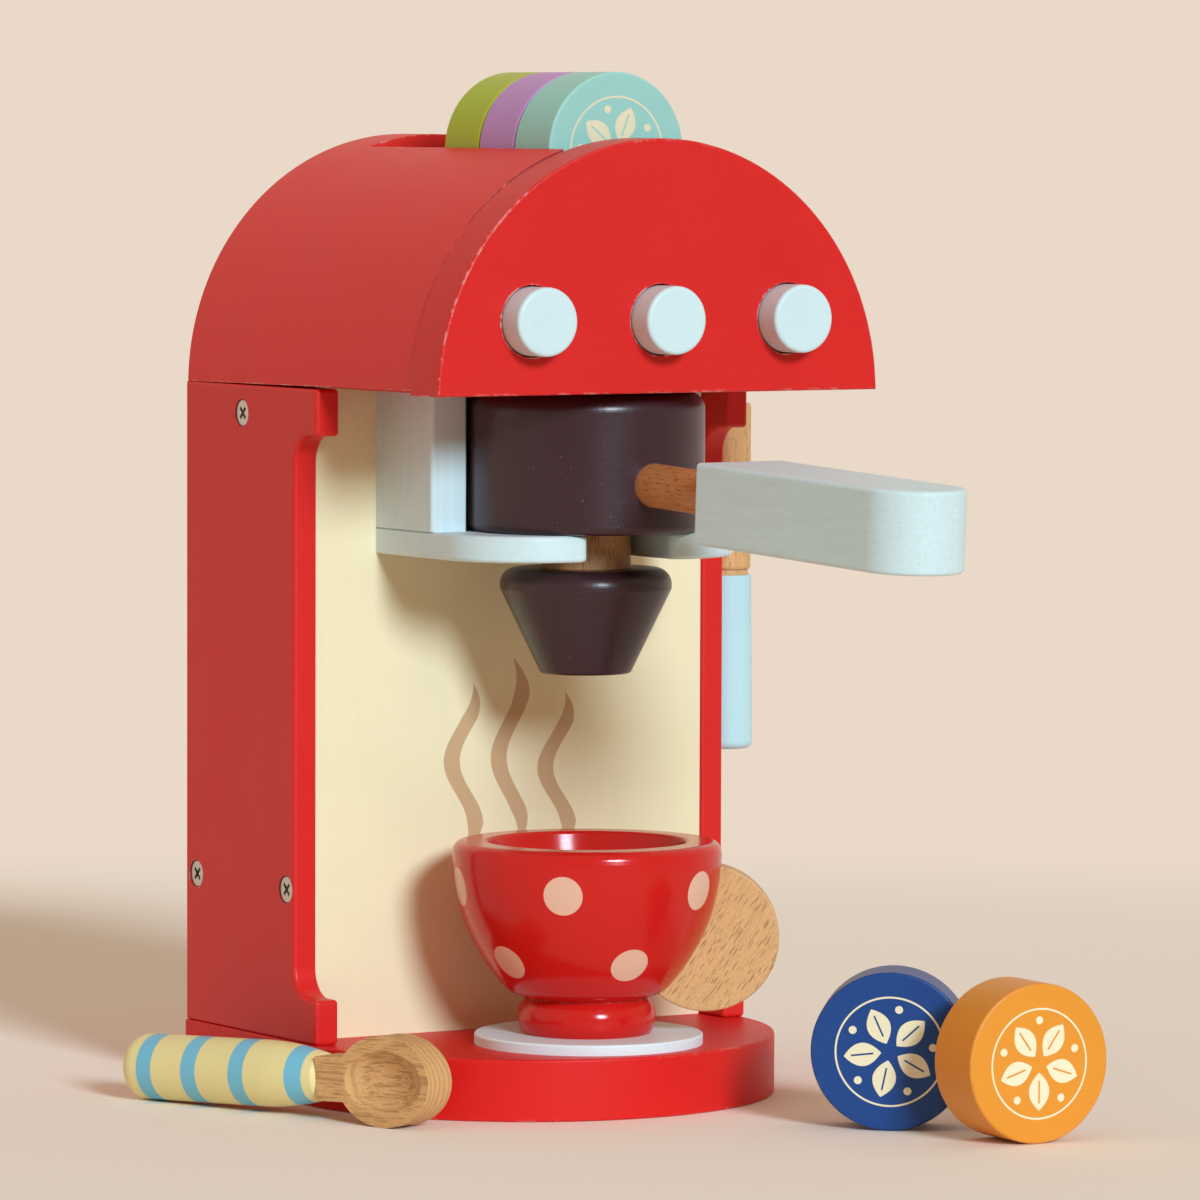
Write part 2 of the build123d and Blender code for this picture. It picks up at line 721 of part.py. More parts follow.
with BuildPart() as wand_washer:
    with BuildSketch(arm_side.offset(side_play)):
        Circle(wand_washer_diameter / 2)
        Circle(pivot_screw_diameter / 2 + pivot_clearance, mode=Mode.SUBTRACT)
    extrude(amount=wand_washer_thickness)
wand_washer.part.label = "wand_washer"
export_step(wand_washer.part, "parts/wand_washer.step")

with BuildPart() as wand_pivot_screw:
    with BuildSketch(arm_side.offset(-panel_thickness - side_play)):
        Circle(pivot_screw_diameter / 2)
    extrude(amount=panel_thickness + side_play + wand_gap + pivot_bite)
    with BuildSketch(arm_side.offset(-panel_thickness - side_play - pivot_head_thickness)):
        Circle(pivot_head_diameter / 2)
    extrude(amount=pivot_head_thickness)
    fillet(wand_pivot_screw.edges().group_by(Axis.X)[0], seam_edge)
wand_pivot_screw.part.label = "wand_pivot_screw"
export_step(wand_pivot_screw.part, "parts/wand_pivot_screw.step")

# ---------------------------------------------------------------- drip disc and cup
with BuildPart() as drip_disc:
    with BuildSketch(Plane.XY.offset(base_top)):
        with Locations((0, disc_y)):
            Circle(disc_diameter / 2)
    extrude(amount=disc_thickness)
    fillet(drip_disc.edges().group_by(Axis.Z)[-1], seam_edge)
drip_disc.part.label = "drip_disc"
export_step(drip_disc.part, "parts/drip_disc.step")

cup_axis = Axis((cup_offset, disc_y, 0), (0, 0, 1))
cup_plane = Plane(origin=(cup_offset, disc_y, 0), x_dir=(1, 0, 0), z_dir=(0, -1, 0))
bowl_arc_x = cup_rim_radius - cup_bowl_arc
bowl_arc_z = disc_top + cup_height - 3 * pale_edge
bowl_bottom_z = disc_top + cup_bowl_bottom
bowl_bottom_x = bowl_arc_x + math.sqrt(cup_bowl_arc**2 - (bowl_arc_z - bowl_bottom_z) ** 2)
cup_hollow_z = disc_top + cup_height - cup_hollow_depth

with BuildSketch(cup_plane, mode=Mode.PRIVATE) as cup_outline:
    with BuildLine():
        neck_z = disc_top + cup_neck_height
        foot_side = ThreePointArc(
            (cup_foot_base_radius, disc_top),
            (cup_foot_radius, disc_top + cup_neck_height / 2),
            (cup_neck_radius, neck_z),
        )
        Line((cup_neck_radius, neck_z), (bowl_bottom_x, bowl_bottom_z))
        RadiusArc((bowl_bottom_x, bowl_bottom_z), (cup_rim_radius, bowl_arc_z), -cup_bowl_arc)
        Polyline(
            (cup_rim_radius, bowl_arc_z),
            (cup_rim_radius - pale_edge / 2, disc_top + cup_height),
            (0, disc_top + cup_height),
            (0, disc_top),
            (cup_foot_base_radius, disc_top),
        )
    make_face()
    bowl_turn = cup_outline.vertices().sort_by_distance((bowl_bottom_x, bowl_bottom_z))[0]
    fillet(bowl_turn, cup_bowl_bottom / 2)

with BuildPart() as cup:
    add(cup_outline.sketch)
    revolve(axis=cup_axis)
    fillet(cup.edges().group_by(Axis.Z)[-1], cup_rim_round)
    with BuildSketch(cup_plane) as hollow:
        with BuildLine():
            Polyline(
                (0, cup_hollow_z),
                (cup_mouth_radius * 0.7, cup_hollow_z),
                (cup_mouth_radius, disc_top + cup_height),
                (0, disc_top + cup_height),
                close=True,
            )
        make_face()
        fillet(
            hollow.vertices().group_by(Axis.Y)[0].sort_by(Axis.X)[-1],
            cup_mouth_radius / 2,
        )
    revolve(axis=cup_axis, mode=Mode.SUBTRACT)
    mouth_edges = cup.edges().filter_by(GeomType.CIRCLE).group_by(Axis.Z)[-1]
    fillet(mouth_edges.sort_by(SortBy.RADIUS)[0], pale_edge)
cup.part.label = "cup"
export_step(cup.part, "parts/cup.step")

# The cup's handle is a flat beech disc, notched to the outside of the bowl.
handle_turn = math.radians(cup_handle_heading)
outward = Vector(math.cos(handle_turn), math.sin(handle_turn), 0)
cup_handle_centre = Vector(cup_offset, disc_y, disc_top + cup_handle_height) + outward * (cup_rim_radius - cup_handle_inset)
cup_handle_plane = Plane(
    origin=cup_handle_centre, x_dir=outward, z_dir=outward.cross(Vector(0, 0, 1))
)
with BuildPart() as cup_handle:
    with BuildSketch(cup_handle_plane.offset(-cup_handle_thickness / 2)):
        Circle(cup_handle_diameter / 2)
    extrude(amount=cup_handle_thickness)
    fillet(cup_handle.edges().filter_by(GeomType.CIRCLE), seam_edge)
    add(cup_outline.sketch)
    revolve(axis=cup_axis, mode=Mode.SUBTRACT)
cup_handle.part.label = "cup_handle"
export_step(cup_handle.part, "parts/cup_handle.step")

# ---------------------------------------------------------------- loose pods on the floor
loose_pods = {
    "blue": (blue_pod_x, blue_pod_y, blue_pod_heading),
    "orange": (orange_pod_x, orange_pod_y, orange_pod_heading),
}
for colour, (x, y, turn) in loose_pods.items():
    facing = Vector(math.sin(math.radians(turn)), -math.cos(math.radians(turn)), 0)
    with BuildPart() as loose_pod:
        with BuildSketch(Plane(origin=(x, y, pod_diameter / 2), z_dir=facing).offset(-pod_thickness / 2)):
            Circle(pod_diameter / 2)
        extrude(amount=pod_thickness)
        fillet(loose_pod.edges().filter_by(GeomType.CIRCLE), pod_edge)
    loose_pod.part.label = f"pod_{colour}"
    export_step(loose_pod.part, f"parts/pod_{colour}.step")

# ---------------------------------------------------------------- measuring spoon
# It lies on its side. Its frame runs from the butt along the handle, with the dish's
# face as the sketch plane, so that local Y is up.
spoon_rise = math.asin(
    (spoon_bowl_width - spoon_handle_diameter) / 2 / (spoon_bowl_reach - spoon_butt_round)
)
spoon_turn = math.radians(spoon_heading)
spoon_axis = Vector(
    math.sin(spoon_turn) * math.cos(spoon_rise),
    -math.cos(spoon_turn) * math.cos(spoon_rise),
    math.sin(spoon_rise),
)
face_normal = Vector(-math.cos(spoon_turn), -math.sin(spoon_turn), 0)
butt_z = spoon_handle_diameter / 2 - spoon_butt_round * math.sin(spoon_rise) + rest_gap
spoon_plane = Plane(origin=(-half_width - spoon_side_gap, spoon_y, butt_z), x_dir=spoon_axis, z_dir=face_normal)
spoon_line = Axis(spoon_plane.origin, spoon_axis)

with BuildPart() as spoon_handle:
    with BuildSketch(spoon_plane) as handle_profile:
        with BuildLine():
            Polyline(
                (spoon_handle_length - spoon_taper_length, spoon_handle_diameter / 2),
                (0, spoon_handle_diameter / 2),
                (0, 0),
                (spoon_handle_length, 0),
                (spoon_handle_length, spoon_handle_tip_diameter / 2 - pale_edge),
                (spoon_handle_length - pale_edge, spoon_handle_tip_diameter / 2),
            )
            TangentArc(
                (spoon_handle_length - spoon_taper_length, spoon_handle_diameter / 2),
                (spoon_handle_length - pale_edge, spoon_handle_tip_diameter / 2),
                tangent=(1, 0),
            )
        make_face()
        butt_corner = handle_profile.vertices().group_by(Axis.X)[0].sort_by(Axis.Y)[-1]
        fillet(butt_corner, spoon_butt_round)
    revolve(axis=spoon_line)
    with BuildSketch(Plane(origin=spoon_plane.origin, z_dir=spoon_axis).offset(spoon_handle_length)):
        Circle(spoon_tenon_diameter / 2)
    extrude(amount=-spoon_tenon_length, mode=Mode.SUBTRACT)
spoon_handle.part.label = "spoon_handle"
export_step(spoon_handle.part, "parts/spoon_handle.step")

# the dish is a shallow slice of a long egg that stands above the bowl's face
dish_radius = (dish_depth**2 + (dish_width / 2) ** 2) / (2 * dish_depth)
dish_reach = dish_radius * dish_length / dish_width
dish_centre = spoon_bowl_thickness / 2 - dish_depth + dish_radius
with BuildPart() as spoon_bowl:
    with BuildSketch(spoon_plane.offset(-spoon_bowl_thickness / 2)):
        with Locations((spoon_bowl_reach, 0)):
            Ellipse(spoon_bowl_length / 2, spoon_bowl_width / 2)
        with Locations((spoon_handle_length, 0)):
            Rectangle(
                spoon_bowl_reach - spoon_handle_length,
                spoon_neck_width,
                align=(Align.MIN, Align.CENTER),
            )
    extrude(amount=spoon_bowl_thickness)
    back_rim = spoon_bowl.faces().sort_by(Axis((0, 0, 0), face_normal))[0].edges()
    fillet(back_rim, pale_edge)
    with BuildSketch(spoon_plane.offset(dish_centre)):
        with Locations((spoon_bowl_reach, 0)):
            Ellipse(dish_reach, dish_radius)
            Rectangle(
                2 * dish_reach,
                2 * dish_radius,
                align=(Align.CENTER, Align.MAX),
                mode=Mode.SUBTRACT,
            )
    revolve(axis=Axis(spoon_plane.offset(dish_centre).origin, spoon_axis), mode=Mode.SUBTRACT)
    dish_rim = spoon_bowl.faces().sort_by(Axis((0, 0, 0), face_normal))[-1].inner_wires()[0].edges()
    fillet(dish_rim, pale_edge)
    with BuildSketch(Plane(origin=spoon_plane.origin, z_dir=spoon_axis).offset(spoon_handle_length)):
        Circle(spoon_tenon_diameter / 2)
    extrude(amount=-spoon_tenon_length)
spoon_bowl.part.label = "spoon_bowl"
export_step(spoon_bowl.part, "parts/spoon_bowl.step")

# ---------------------------------------------------------------- wood screws
# One countersunk cross-head screw, drawn with its head's top at the origin, facing +Z.
def build_screw(length):
    """Return a countersunk screw of the given length, pointing down from the origin."""
    head_radius_top = screw_head_diameter / 2
    shank_radius = screw_shank_diameter / 2
    with BuildPart(mode=Mode.PRIVATE) as screw:
        with BuildSketch(Plane.XZ):
            with BuildLine():
                Polyline(
                    (0, -screw_sink),
                    (head_radius_top, -screw_sink),
                    (shank_radius, -screw_sink - head_radius_top + shank_radius),
                    (shank_radius, -length + shank_radius),
                    (0, -length),
                    close=True,
                )
            make_face()
        revolve(axis=Axis.Z)
        with BuildSketch(Plane.XY.offset(-screw_sink)):
            Rectangle(screw_recess_span, screw_recess_width, rotation=45)
            Rectangle(screw_recess_width, screw_recess_span, rotation=45)
        extrude(amount=-screw_recess_depth, mode=Mode.SUBTRACT)
    return screw.part


side_screw = build_screw(side_screw_length)
for side, sign in (("left", -1), ("right", 1)):
    with BuildPart() as side_screws:
        with Locations(
            *[Plane(origin=(sign * half_width, y, z), z_dir=(sign, 0, 0)) for y, z in side_screw_places]
        ):
            add(side_screw)
    side_screws.part.label = f"{side}_side_screws"
    export_step(side_screws.part, f"parts/{side}_side_screws.step")

with BuildPart() as base_screws:
    with Locations(*base_screw_planes):
        add(build_screw(base_screw_length))
base_screws.part.label = "base_screws"
export_step(base_screws.part, "parts/base_screws.step")

with BuildPart() as head_screws:
    with Locations(*head_screw_planes):
        add(build_screw(head_screw_length))
head_screws.part.label = "head_screws"
export_step(head_screws.part, "parts/head_screws.step")

with BuildPart() as holder_screws:
    with Locations(*holder_screw_planes):
        add(build_screw(holder_screw_length))
holder_screws.part.label = "holder_screws"
export_step(holder_screws.part, "parts/holder_screws.step")
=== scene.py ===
import json
import math
from functools import reduce

import bpy
from bpy.props import FloatProperty, FloatVectorProperty, PointerProperty
from mathutils import Matrix, Vector


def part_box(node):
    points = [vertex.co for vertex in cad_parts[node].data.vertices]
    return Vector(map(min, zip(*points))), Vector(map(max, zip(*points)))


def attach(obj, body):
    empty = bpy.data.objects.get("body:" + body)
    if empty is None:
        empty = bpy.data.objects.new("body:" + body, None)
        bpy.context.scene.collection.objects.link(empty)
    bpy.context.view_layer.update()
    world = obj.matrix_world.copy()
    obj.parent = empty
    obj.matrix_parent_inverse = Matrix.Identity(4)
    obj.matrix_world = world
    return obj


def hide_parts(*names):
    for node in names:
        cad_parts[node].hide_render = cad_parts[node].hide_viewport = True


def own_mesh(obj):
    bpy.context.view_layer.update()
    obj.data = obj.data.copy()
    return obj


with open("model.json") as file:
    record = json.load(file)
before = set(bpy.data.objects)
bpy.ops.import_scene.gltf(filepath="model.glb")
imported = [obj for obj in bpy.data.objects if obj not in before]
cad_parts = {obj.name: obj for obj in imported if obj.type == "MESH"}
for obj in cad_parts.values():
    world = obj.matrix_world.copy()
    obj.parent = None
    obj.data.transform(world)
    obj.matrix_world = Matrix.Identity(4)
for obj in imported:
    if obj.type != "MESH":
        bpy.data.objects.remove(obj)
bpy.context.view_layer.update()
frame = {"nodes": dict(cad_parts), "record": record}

bl_info = {
    "name": "Toy Coffee Maker",
    "version": (1, 0, 0),
    "blender": (4, 5, 0),
    "location": "View3D > Sidebar > Toy Coffee Maker",
    "description": "Paints, wood finishes, prints and springs of a wooden toy coffee maker",
    "category": "Object",
}

MM = 0.001
WORN_EDGE = 0.7 * MM  # how far wear reaches in from an edge
CUP_MIDDLE_X = -0.6 * MM  # the cup stands a little to the left of the drip disc's middle
CUP_FRONT = -121.43  # heading of the cup's front, in degrees from X
HANDLE_WAY = (0.0558, -0.9975, -0.0454)  # the filter holder's handle runs out this way
SEAM_Y = -49.5 * MM  # joint between the head's front plate and its roof


# ------------------------------------------------------------------ colours and sizes
def shade(hex_code):
    """A paint chart code such as "db1f1c" as the scene-linear colour that Blender keeps."""
    parts = [int(hex_code[i:i + 2], 16) / 255 for i in (0, 2, 4)]
    return tuple(c / 12.92 if c <= 0.04045 else ((c + 0.055) / 1.055) ** 2.4 for c in parts)


def colour(name, hex_code, description):
    """A colour that a user can change."""
    return FloatVectorProperty(name=name, description=description, default=shade(hex_code),
                               subtype="COLOR", size=3, min=0, max=1)


def length(name, millimetres, description):
    """A length that a user can change, kept in metres."""
    return FloatProperty(name=name, description=description, default=millimetres * MM, min=0,
                         subtype="DISTANCE", unit="LENGTH", precision=4)


class ToyPaints(bpy.types.PropertyGroup):
    """Colours of the toy's paints and timber."""
    red: colour("Red", "db1f1c", "Cabinet, head and cup")
    cream: colour("Cream", "f3e6bd", "Back board")
    pale_blue: colour("Pale blue", "d4e8ea", "Fork, buttons and handle")
    sky_blue: colour("Sky blue", "bfe4ea", "Wand nozzle")
    brown: colour("Brown", "3b2328", "Filter drum and spout")
    white: colour("White", "e3eef0", "Drip disc")
    green: colour("Green", "aebd16", "Rear coffee pod")
    lilac: colour("Lilac", "c48ccb", "Middle coffee pod")
    mint: colour("Mint", "9fd6ca", "Front coffee pod")
    blue: colour("Blue", "124285", "Loose coffee pod")
    orange: colour("Orange", "e6932c", "Loose coffee pod")
    roof_red: colour("Roof red", "e4241f", "Curved roof of the head")
    cup_red: colour("Cup red", "d01d18", "Cup")
    spoon_cream: colour("Spoon cream", "ecdb9a", "Handle of the spoon")
    spoon_band: colour("Spoon bands", "77bfd8", "Bands round the spoon's handle")
    undercoat: colour("Undercoat", "f0c9bd", "Where the paint is thin on an edge")
    # painted shade, laid in the joint between the head's front plate and roof and inside the screw
    # holes
    seam: colour("Seam", "2a0c0a", "Shadowy joints and the insides of screw holes")
    print_cream: colour("Print cream", "f1e6c0", "Prints on the pods")
    dot: colour("Dots", "e9b89c", "Dots on the cup")
    dust: colour("Dust", "8d8f88", "Fine grit caught in the pale paints")
    steam: colour("Steam", "c1966a", "Steam lines on the back board")


class ToyTimber(bpy.types.PropertyGroup):
    """Colours of the bare wood and the fixings."""
    beech: colour("Beech", "dcab72", "Cup handle, wand and plate dowels")
    spoon: colour("Spoon beech", "d6a56c", "Spoon bowl")
    beech_dark: colour("Beech flecks", "80491f", "Short dark flecks of the grain")
    dowel: colour("Handle dowel", "c6824e", "Steamed beech of the handle")
    neck: colour("Neck dowel", "c78f60", "Steamed beech of the neck")
    steel: colour("Steel", "c9c4bd", "Screws and washer")
    spring: colour("Spring steel", "8f8f92", "Button springs")


class ToyPrints(bpy.types.PropertyGroup):
    """Sizes of the printed patterns."""
    ring_radius: length("Ring radius", 13.0, "Thin ring on a pod's face")
    ring_line: length("Ring line", 0.45, "Width of the ring's line")
    leaf_length: length("Leaf length", 9.0, "Length of one printed leaf")
    leaf_width: length("Leaf width", 5.6, "Width of one printed leaf")
    leaf_place: length("Leaf place", 6.6, "Distance of a leaf's middle from the pod's middle")
    dot_diameter: length("Dot diameter", 9.6, "Dots on the cup")
    dot_high: length("Upper dots", 54.1, "Height of the upper row of dots")
    dot_low: length("Lower dots", 36.3, "Height of the lower row of dots")
    band_width: length("Band width", 4.7, "Bands on the spoon's handle")
    steam_width: length("Steam line width", 4.6, "Widest place of a steam line")
    steam_sway: length("Steam sway", 3.4, "Sideways sway of a steam line")


class ToyStage(bpy.types.PropertyGroup):
    """The camera, lamp and floor."""
    lens: FloatProperty(name="Lens", description="Focal length on a 36 mm sensor, in millimetres",
                        default=230.48, min=10, unit="CAMERA")
    camera_place: FloatVectorProperty(name="Camera", description="Where the camera stands",
                                      default=(-0.9731, -1.6274, 0.2428), subtype="XYZ",
                                      unit="LENGTH", size=3)
    floor_radius: length("Floor radius", 655, "Edge of the pale floor")
    floor: colour("Floor", "fff2e4", "Pale floor")
    backdrop: colour("Backdrop", "ead9c8", "Colour behind the floor")
    fill: colour("Fill", "b6aa9e", "Soft light from all round")
    front_fill: colour("Front fill", "8a7042", "Dimmer light from the room in front of the toy")
    lamp_tint: colour("Lamp tint", "d9efff", "Colour of the soft lamp")
    top_gain: FloatProperty(name="Ceiling", default=0.25, min=0, subtype="FACTOR",
                            description="How much brighter the room is overhead")
    lamp_power: FloatProperty(name="Lamp", description="Strength of the soft lamp",
                              default=2.9, min=0)
    lamp_height: FloatProperty(name="Lamp height", description="Angle of the lamp above the floor",
                               default=math.radians(22), subtype="ANGLE", unit="ROTATION")
    lamp_heading: FloatProperty(name="Lamp heading", description="How far the lamp stands left of "
                                "straight ahead", default=math.radians(5.5), subtype="ANGLE",
                                unit="ROTATION")
    lamp_size: FloatProperty(name="Lamp size", description="Angle that the soft lamp covers",
                             default=math.radians(14), subtype="ANGLE", unit="ROTATION")


PROPERTY_GROUPS = {
    "toy_paints": ToyPaints,
    "toy_timber": ToyTimber,
    "toy_prints": ToyPrints,
    "toy_stage": ToyStage,
}


# ------------------------------------------------------------------ node bench
class Value:
    """A number, colour or vector inside a finish. Arithmetic on numbers adds Math nodes."""

    def __init__(self, bench, socket):
        self.bench, self.socket = bench, socket

    def math(self, operation, *others):
        return self.bench.node("ShaderNodeMath", {"operation": operation},
                               dict(enumerate((self, *others))))

    def __add__(self, other):
        return self.math("ADD", other)

    def __sub__(self, other):
        return self.math("SUBTRACT", other)

    def __mul__(self, other):
        return self.math("MULTIPLY", other)

    def __truediv__(self, other):
        return self.math("DIVIDE", other)

    def __rsub__(self, other):
        return self.bench.node("ShaderNodeMath", {"operation": "SUBTRACT"}, {0: other, 1: self})

    __radd__, __rmul__ = __add__, __mul__

    def __abs__(self):
        return self.math("ABSOLUTE")

    def least(self, other):
        return self.math("MINIMUM", other)

    def most(self, other):
        return self.math("MAXIMUM", other)

    def step(self, low, high):
        """0 below low, 1 above high and a soft rise between them. low may be above high."""
        return self.bench.node("ShaderNodeMapRange", {"interpolation_type": "SMOOTHSTEP"},
                               {"Value": self, "From Min": low, "From Max": high})

    def within(self, reach, blur):
        """1 where this distance is under reach, 0 past it, and blurred between them."""
        return (reach - self).step(-blur, blur)


class Bench:
    """One finish on the workbench: makes its nodes and ends in a material."""

    def __init__(self, name=None, tree=None):
        if tree is None:
            self.material = bpy.data.materials.new(name)
            self.material.use_nodes = True
            tree = self.material.node_tree
        self.tree = tree
        tree.nodes.clear()
        self.place = self.node("ShaderNodeTexCoord", out="Object")

    def node(self, kind, settings=None, sockets=None, out=0):
        """Adds a node: its settings first, then its sockets' values or links."""
        made = self.tree.nodes.new(kind)
        for key, setting in (settings or {}).items():
            setattr(made, key, setting)
        for key, given in (sockets or {}).items():
            socket = made.inputs[key]
            if isinstance(given, Value):
                self.tree.links.new(given.socket, socket)
            elif socket.type == "RGBA" and len(given) == 3:
                socket.default_value = (*given, 1)
            else:
                socket.default_value = given
        return Value(self, made.outputs[out]) if made.outputs else None

    def vector(self, x, y, z=0.0):
        """A vector of three numbers or masks."""
        return self.node("ShaderNodeCombineXYZ", {}, {"X": x, "Y": y, "Z": z})

    def parts(self, vector):
        """The x, y and z of a vector."""
        split = self.node("ShaderNodeSeparateXYZ", {}, {0: vector}).socket.node
        return [Value(self, socket) for socket in split.outputs]

    def local(self, origin, turn=(0, 0, 0)):
        """Places measured from a piece's own middle, in its own directions."""
        return self.node("ShaderNodeMapping", {"vector_type": "TEXTURE"},
                         {"Vector": self.place, "Location": origin, "Rotation": turn})

    def stretched(self, place, scale):
        """Places scaled along each axis, so that a noise on them is drawn out into lines."""
        return self.node("ShaderNodeMapping", {"vector_type": "POINT"},
                         {"Vector": place, "Scale": scale})

    def noise(self, place, scale, detail=2.0, roughness=0.5):
        """Cloudy numbers from 0 to 1, near 0.5 for the most part."""
        return self.node("ShaderNodeTexNoise", {"noise_dimensions": "3D"}, {
            "Vector": place, "Scale": scale, "Detail": detail, "Roughness": roughness})

    def blend(self, amount, first, second, how="MIX"):
        """Colours laid over each other; amount may be a mask."""
        return self.node("ShaderNodeMix", {"data_type": "RGBA", "blend_type": how},
                         {0: amount, 6: first, 7: second}, out=2)

    def tone(self, base, amount):
        """The colour made lighter or darker: amount 1 leaves it, 1.1 is a tenth lighter."""
        grey = self.node("ShaderNodeCombineColor", {}, {0: amount, 1: amount, 2: amount})
        return self.blend(1.0, base, grey, "MULTIPLY")

    def edges(self, width):
        """1 on the piece's sharp and rounded edges, 0 on its flats."""
        rounded = self.node("ShaderNodeBevel", {"samples": 4}, {"Radius": width})
        true = self.node("ShaderNodeNewGeometry", out="Normal")
        facing = self.node("ShaderNodeVectorMath", {"operation": "DOT_PRODUCT"},
                           {0: rounded, 1: true}, out="Value")
        return (1 - facing).step(0.01, 0.12)

    def finish(self, base, roughness, height, depth, strength, **fixed):
        """Ends the finish in one shader. depth is how far the bump reaches, in metres."""
        bump = self.node("ShaderNodeBump", {}, {"Height": height, "Distance": depth,
                                               "Strength": strength})
        shader = self.node("ShaderNodeBsdfPrincipled", {}, {
            "Base Color": base, "Roughness": roughness, "Normal": bump,
            **{key.replace("_", " ").title().replace("Ior", "IOR"): setting
               for key, setting in fixed.items()}})
        self.node("ShaderNodeOutputMaterial", {}, {"Surface": shader})
        return self.material


def lying(along, facing):
    """Turn of a piece whose own Z runs along and whose own X looks out of its broad face."""
    z = Vector(along).normalized()
    x = (Vector(facing) - Vector(facing).dot(z) * z).normalized()
    return tuple(Matrix((x, z.cross(x), z)).transposed().to_euler())


# ------------------------------------------------------------------ finishes
def painted(bench, base, *, lines=(700, 700, 24), lathe=None, gloss=0.42, shine=0.35, worn=0.7,
            grain=0.05, pits=0.03, specks=0.0, speck_tone=None, dark=None, print_mask=None,
            print_tone=None):
    """Sprayed and lightly sanded paint: grain lines show through, and edges are worn in places.

    lathe is the middle and turn of a piece that is turned on a lathe, so that its lines go round.
    """
    paints = bpy.context.scene.toy_paints
    place = bench.place
    if lathe:
        x, y, z = bench.parts(bench.local(*lathe))
        radius = (x * x + y * y).math("SQRT")
        lined = bench.stretched(bench.vector(radius, z), (1100, 1100, 1))
    else:
        lined = bench.stretched(place, lines)
    drift = bench.noise(place, 38, 3)
    streak = bench.noise(lined, 1, 2, 0.6)
    peel = bench.noise(place, 1100, 2)
    edge = bench.edges(WORN_EDGE)
    patches = bench.noise(place, 42, 1).step(0.36, 0.52)
    flaking = bench.noise(place, 420, 4, 0.65).step(0.50, 0.58)
    chips = edge.step(0.0, 0.5) * flaking * patches * worn
    coat = 1 + (drift - 0.5) * 0.08 + (streak - 0.5) * grain + (peel - 0.5) * pits
    tone = bench.tone(base, coat)
    if print_mask:
        tone = bench.blend(print_mask, tone, bench.tone(print_tone, coat))
    tone = bench.blend(edge * 0.06, tone, paints.undercoat)
    tone = bench.blend(chips, tone, paints.undercoat)
    if specks:
        dust = bench.noise(place, 1300, 1).step(0.74, 0.80) * specks
        tone = bench.blend(dust, tone, speck_tone or paints.undercoat)
    # dark is a mask of painted shade in joints and screw holes
    if dark:
        tone = bench.blend(dark, tone, paints.seam)
    rough = gloss + (peel - 0.5) * 0.10 + (drift - 0.5) * 0.10 + edge * 0.05
    relief = streak * grain * 8 + peel * pits * 10
    return bench.finish(tone, rough, relief, 0.05 * MM, 0.35, specular_ior_level=shine)


def timber(name, base, along, facing, origin=(0, 0, 0), *, fleck=0.8, streak=0.12, grain=1.0):
    """Bare beech: growth rings, short dark flecks along the grain and open pores."""
    bench = Bench(name)
    dark = bpy.context.scene.toy_timber.beech_dark
    ring_pitch = 1.7 * MM
    place = bench.local(origin, lying(along, facing))
    x = bench.parts(place)[0]
    normal = bench.node("ShaderNodeTexCoord", out="Normal")
    sides = abs(bench.node("ShaderNodeVectorMath", {"operation": "DOT_PRODUCT"},
                           {0: normal, 1: Vector(along).normalized()}, out="Value")).step(0.6, 0.2)
    wander = bench.noise(bench.stretched(place, (60, 60, 9)), 1, 3)
    rings = ((x * (1 / ring_pitch) + wander * 4) * math.tau).math("SINE").step(-0.2, 1.0)
    figure = bench.noise(bench.stretched(place, (420, 420, 22)), 1, 3, 0.6)
    uneven = bench.noise(bench.stretched(place, (700, 700, 90)), 1, 1)
    cells = bench.node("ShaderNodeTexVoronoi", {"feature": "F1"}, {
        "Vector": bench.stretched(place, (2700, 2700, 210)), "Scale": grain}, out="Distance")
    flecks = (cells + (uneven - 0.5) * 0.25).step(0.31, 0.19) * sides
    streaks = bench.noise(bench.stretched(place, (1500, 1500, 120)), grain).step(0.48, 0.64)
    pores = bench.noise(bench.stretched(place, (5200, 5200, 1400)), 1, 1, 0.6)
    tone = bench.blend(rings * (0.75 - sides * 0.5) + figure * 0.45, bench.tone(base, 1.10),
                       bench.tone(base, 0.78))
    tone = bench.tone(tone, 1 + (pores - 0.5) * 0.7)
    tone = bench.blend(streaks * streak * sides, tone, dark)
    tone = bench.blend(flecks * fleck, tone, dark)
    rough = 0.5 + (pores - 0.5) * 0.2 + flecks * 0.15
    relief = pores * 0.35 - flecks * 0.8 + rings * 0.15
    return bench.finish(tone, rough, relief, 0.08 * MM, 0.3, specular_ior_level=0.4)


def brushed_steel(name, base, rough):
    """Plated steel with fine scratches and a faint stain."""
    bench = Bench(name)
    scratch = bench.noise(bench.stretched(bench.place, (900, 6000, 6000)), 1, 2)
    stain = bench.noise(bench.place, 420, 3)
    tone = bench.tone(base, 0.92 + stain * 0.16)
    return bench.finish(tone, rough + (scratch - 0.5) * 0.2 + (stain - 0.5) * 0.2,
                        scratch, 0.02 * MM, 0.4, metallic=1.0)


